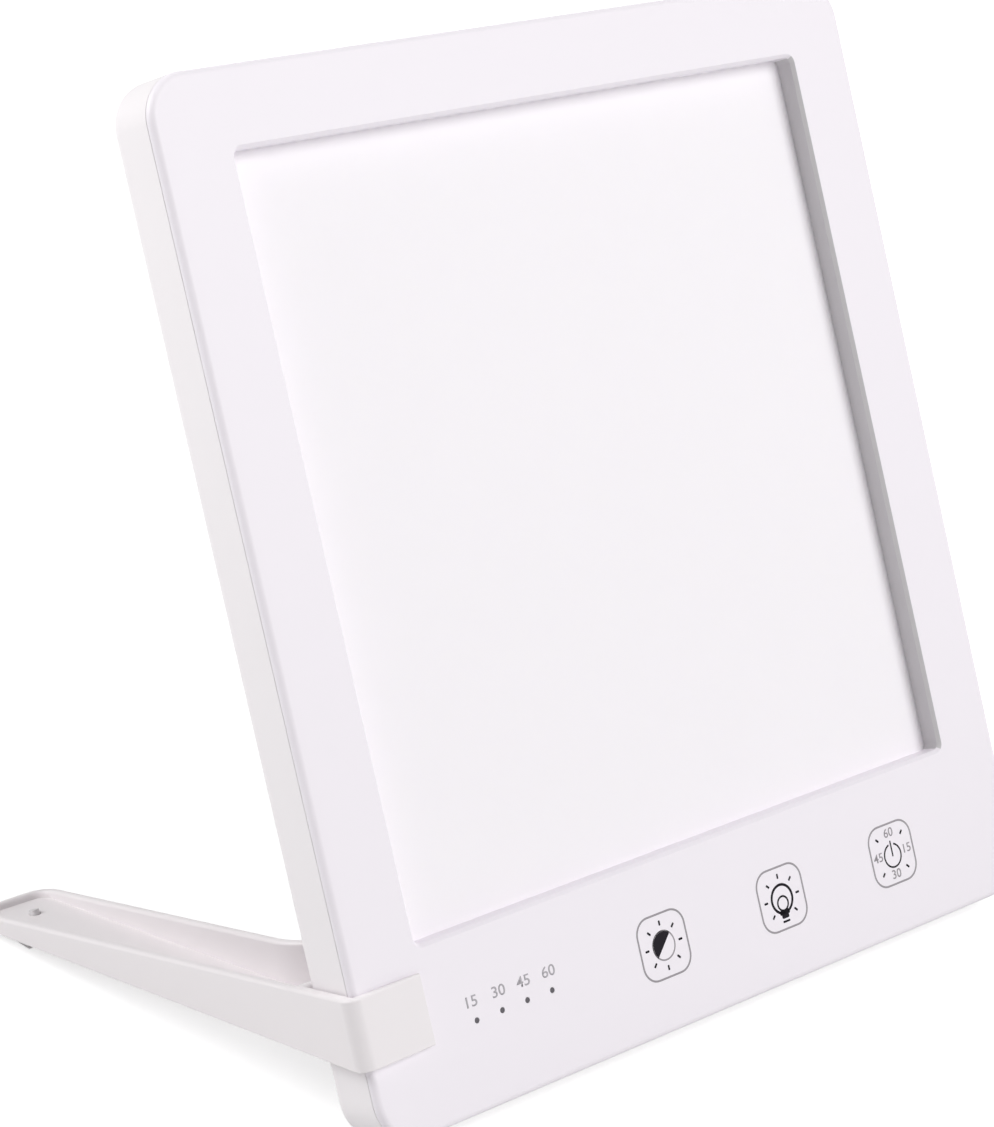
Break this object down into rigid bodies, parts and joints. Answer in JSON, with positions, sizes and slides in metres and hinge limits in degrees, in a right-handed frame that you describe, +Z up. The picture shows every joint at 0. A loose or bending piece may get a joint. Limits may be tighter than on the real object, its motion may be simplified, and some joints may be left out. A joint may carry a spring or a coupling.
{
  "type": "light therapy lamp",
  "caption": "Slim light therapy lamp: flat opal light panel with touch keys, leaning back on a side-clipped stand with two hollow tapered arms.",
  "frame": {"origin": "middle of the lamp's footprint, on the surface it stands on", "axes": "+Z up, +X across the panel to the right as seen from in front, the light panel faces -Y and leans back towards +Y"},
  "size_m": [0.2056, 0.151, 0.2132],
  "materials": {
    "white_shell": "satin",
    "opal_diffuser": "matte",
    "film": "matte",
    "clear_guide": "polished",
    "reflector": "matte",
    "aluminium_sheet": "brushed",
    "circuit_strip": "satin",
    "diode": "satin",
    "foam": "matte",
    "circuit_board": "satin",
    "chip_black": "matte",
    "sign_ink": "matte",
    "capacitor_can": "satin",
    "coil_black": "matte",
    "connector": "satin",
    "smoked_lens": "polished",
    "conductive_foam": "matte",
    "inlet_black": "satin",
    "contact_metal": "polished",
    "wire": "satin",
    "screw_steel": "satin",
    "foot_rubber": "matte"
  },
  "bodies": {
    "panel": {"front_frame": "white_shell", "rear_cover": "white_shell", "diffuser_plate": "opal_diffuser", "diffusing_film": "film", "light_guide": "clear_guide", "reflector_sheet": "reflector", "back_plate": "aluminium_sheet", "light_bar_left": "circuit_strip", "light_bar_right": "circuit_strip", "diodes_left": "diode", "diodes_right": "diode", "foam_strips": "foam", "control_board": "circuit_board", "board_chips": "chip_black", "board_capacitors": "capacitor_can", "board_inductor": "coil_black", "board_connectors": "connector", "indicator_diodes": "diode", "light_pipes": "smoked_lens", "touch_pads": "conductive_foam", "inlet_housing": "inlet_black", "inlet_pin": "contact_metal", "power_leads": "wire", "light_leads_left": "wire", "light_leads_right": "wire", "cover_screws": "screw_steel", "board_screws": "screw_steel", "panel_feet": "foot_rubber"},
    "stand": {"stand": "white_shell", "stand_feet": "foot_rubber"}
  },
  "joints": [
    {"name": "stand_slide", "type": "slide", "parent": "panel", "child": "stand", "axis": [-1, 0, 0], "range_m": [0, 0.02]}
  ]
}
